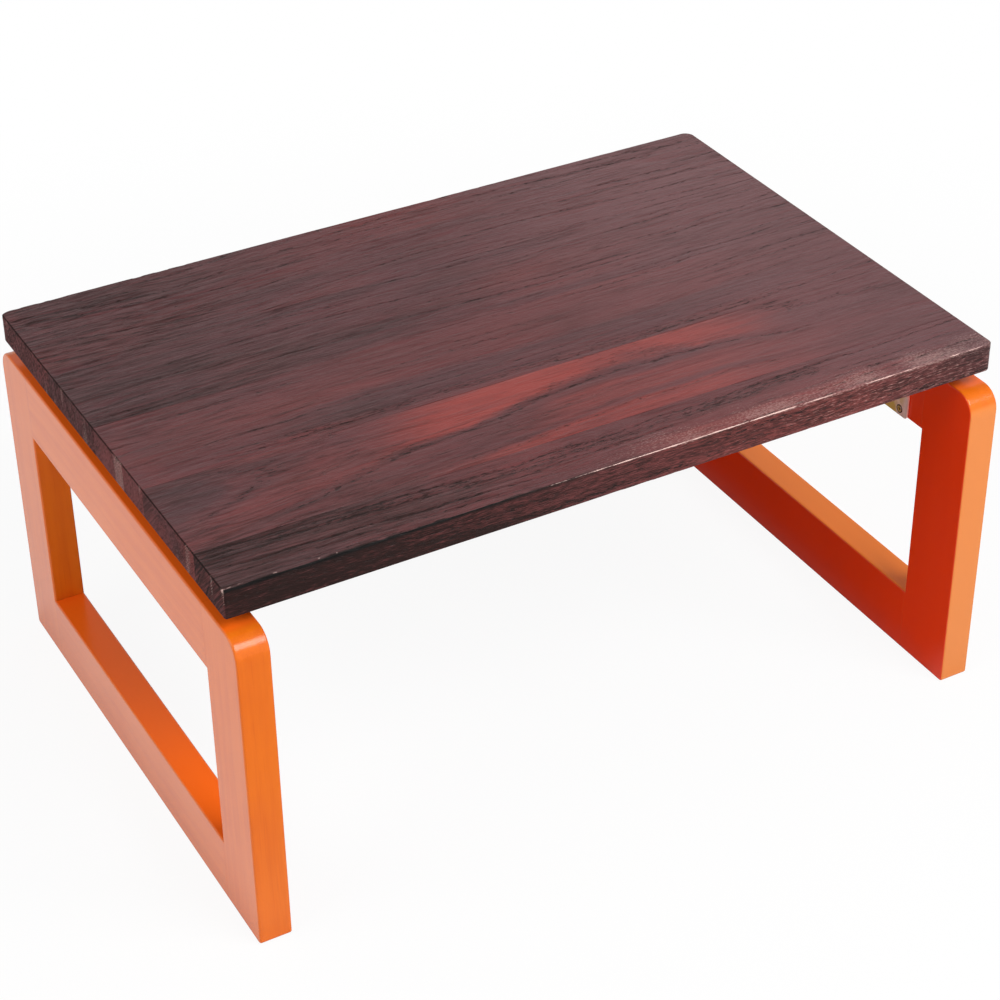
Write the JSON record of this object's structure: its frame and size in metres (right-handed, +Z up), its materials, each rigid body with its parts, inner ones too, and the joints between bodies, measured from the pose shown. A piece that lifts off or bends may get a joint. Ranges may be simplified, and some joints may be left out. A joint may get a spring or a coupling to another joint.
{
  "type": "folding coffee table",
  "caption": "Low rectangular table with a dark board top and open wooden leg frames that fold flat under it on self-locking brackets.",
  "frame": {"origin": "on the floor under the middle of the tabletop, legs open", "axes": "+X along the table's length, +Y from its front to its back, +Z up"},
  "size_m": [0.6, 0.424, 0.29],
  "materials": {
    "burnt_wood": "wire-brushed burnt softwood, dark red brown, satin",
    "orange_wood": "smooth wood under glossy orange lacquer",
    "dowel_wood": "plain beech",
    "plated_steel": "pressed steel, yellow plated",
    "pin_steel": "plated steel",
    "spring_steel": "blued spring steel",
    "screw_steel": "yellow plated steel, cross recess"
  },
  "bodies": {
    "tabletop": {"top_board_front": "burnt_wood", "top_board_second": "burnt_wood", "top_board_middle": "burnt_wood", "top_board_fourth": "burnt_wood", "top_board_back": "burnt_wood", "table_plate_screws": "screw_steel", "left_front_table_plate": "plated_steel", "left_back_table_plate": "plated_steel", "right_front_table_plate": "plated_steel", "right_back_table_plate": "plated_steel", "left_front_pivot_pin": "pin_steel", "left_back_pivot_pin": "pin_steel", "right_front_pivot_pin": "pin_steel", "right_back_pivot_pin": "pin_steel", "left_front_spring_catch": "spring_steel", "left_back_spring_catch": "spring_steel", "right_front_spring_catch": "spring_steel", "right_back_spring_catch": "spring_steel", "catch_rivets": "pin_steel"},
    "left_leg": {"left_front_post": "orange_wood", "left_back_post": "orange_wood", "left_top_rail": "orange_wood", "left_bottom_rail": "orange_wood", "left_leg_dowels": "dowel_wood", "left_front_leg_plate": "plated_steel", "left_back_leg_plate": "plated_steel", "left_leg_plate_screws": "screw_steel"},
    "right_leg": {"right_front_post": "orange_wood", "right_back_post": "orange_wood", "right_top_rail": "orange_wood", "right_bottom_rail": "orange_wood", "right_leg_dowels": "dowel_wood", "right_front_leg_plate": "plated_steel", "right_back_leg_plate": "plated_steel", "right_leg_plate_screws": "screw_steel"}
  },
  "joints": [
    {"name": "left_leg_fold", "type": "hinge", "parent": "tabletop", "child": "left_leg", "pos_m": [-0.264, 0, 0.255], "axis": [0, -1, 0], "range_deg": [0, 90], "deforming": ["left_front_spring_catch", "left_back_spring_catch"]},
    {"name": "right_leg_fold", "type": "hinge", "parent": "tabletop", "child": "right_leg", "pos_m": [0.264, 0, 0.255], "axis": [0, 1, 0], "range_deg": [0, 90], "deforming": ["right_front_spring_catch", "right_back_spring_catch"]}
  ]
}
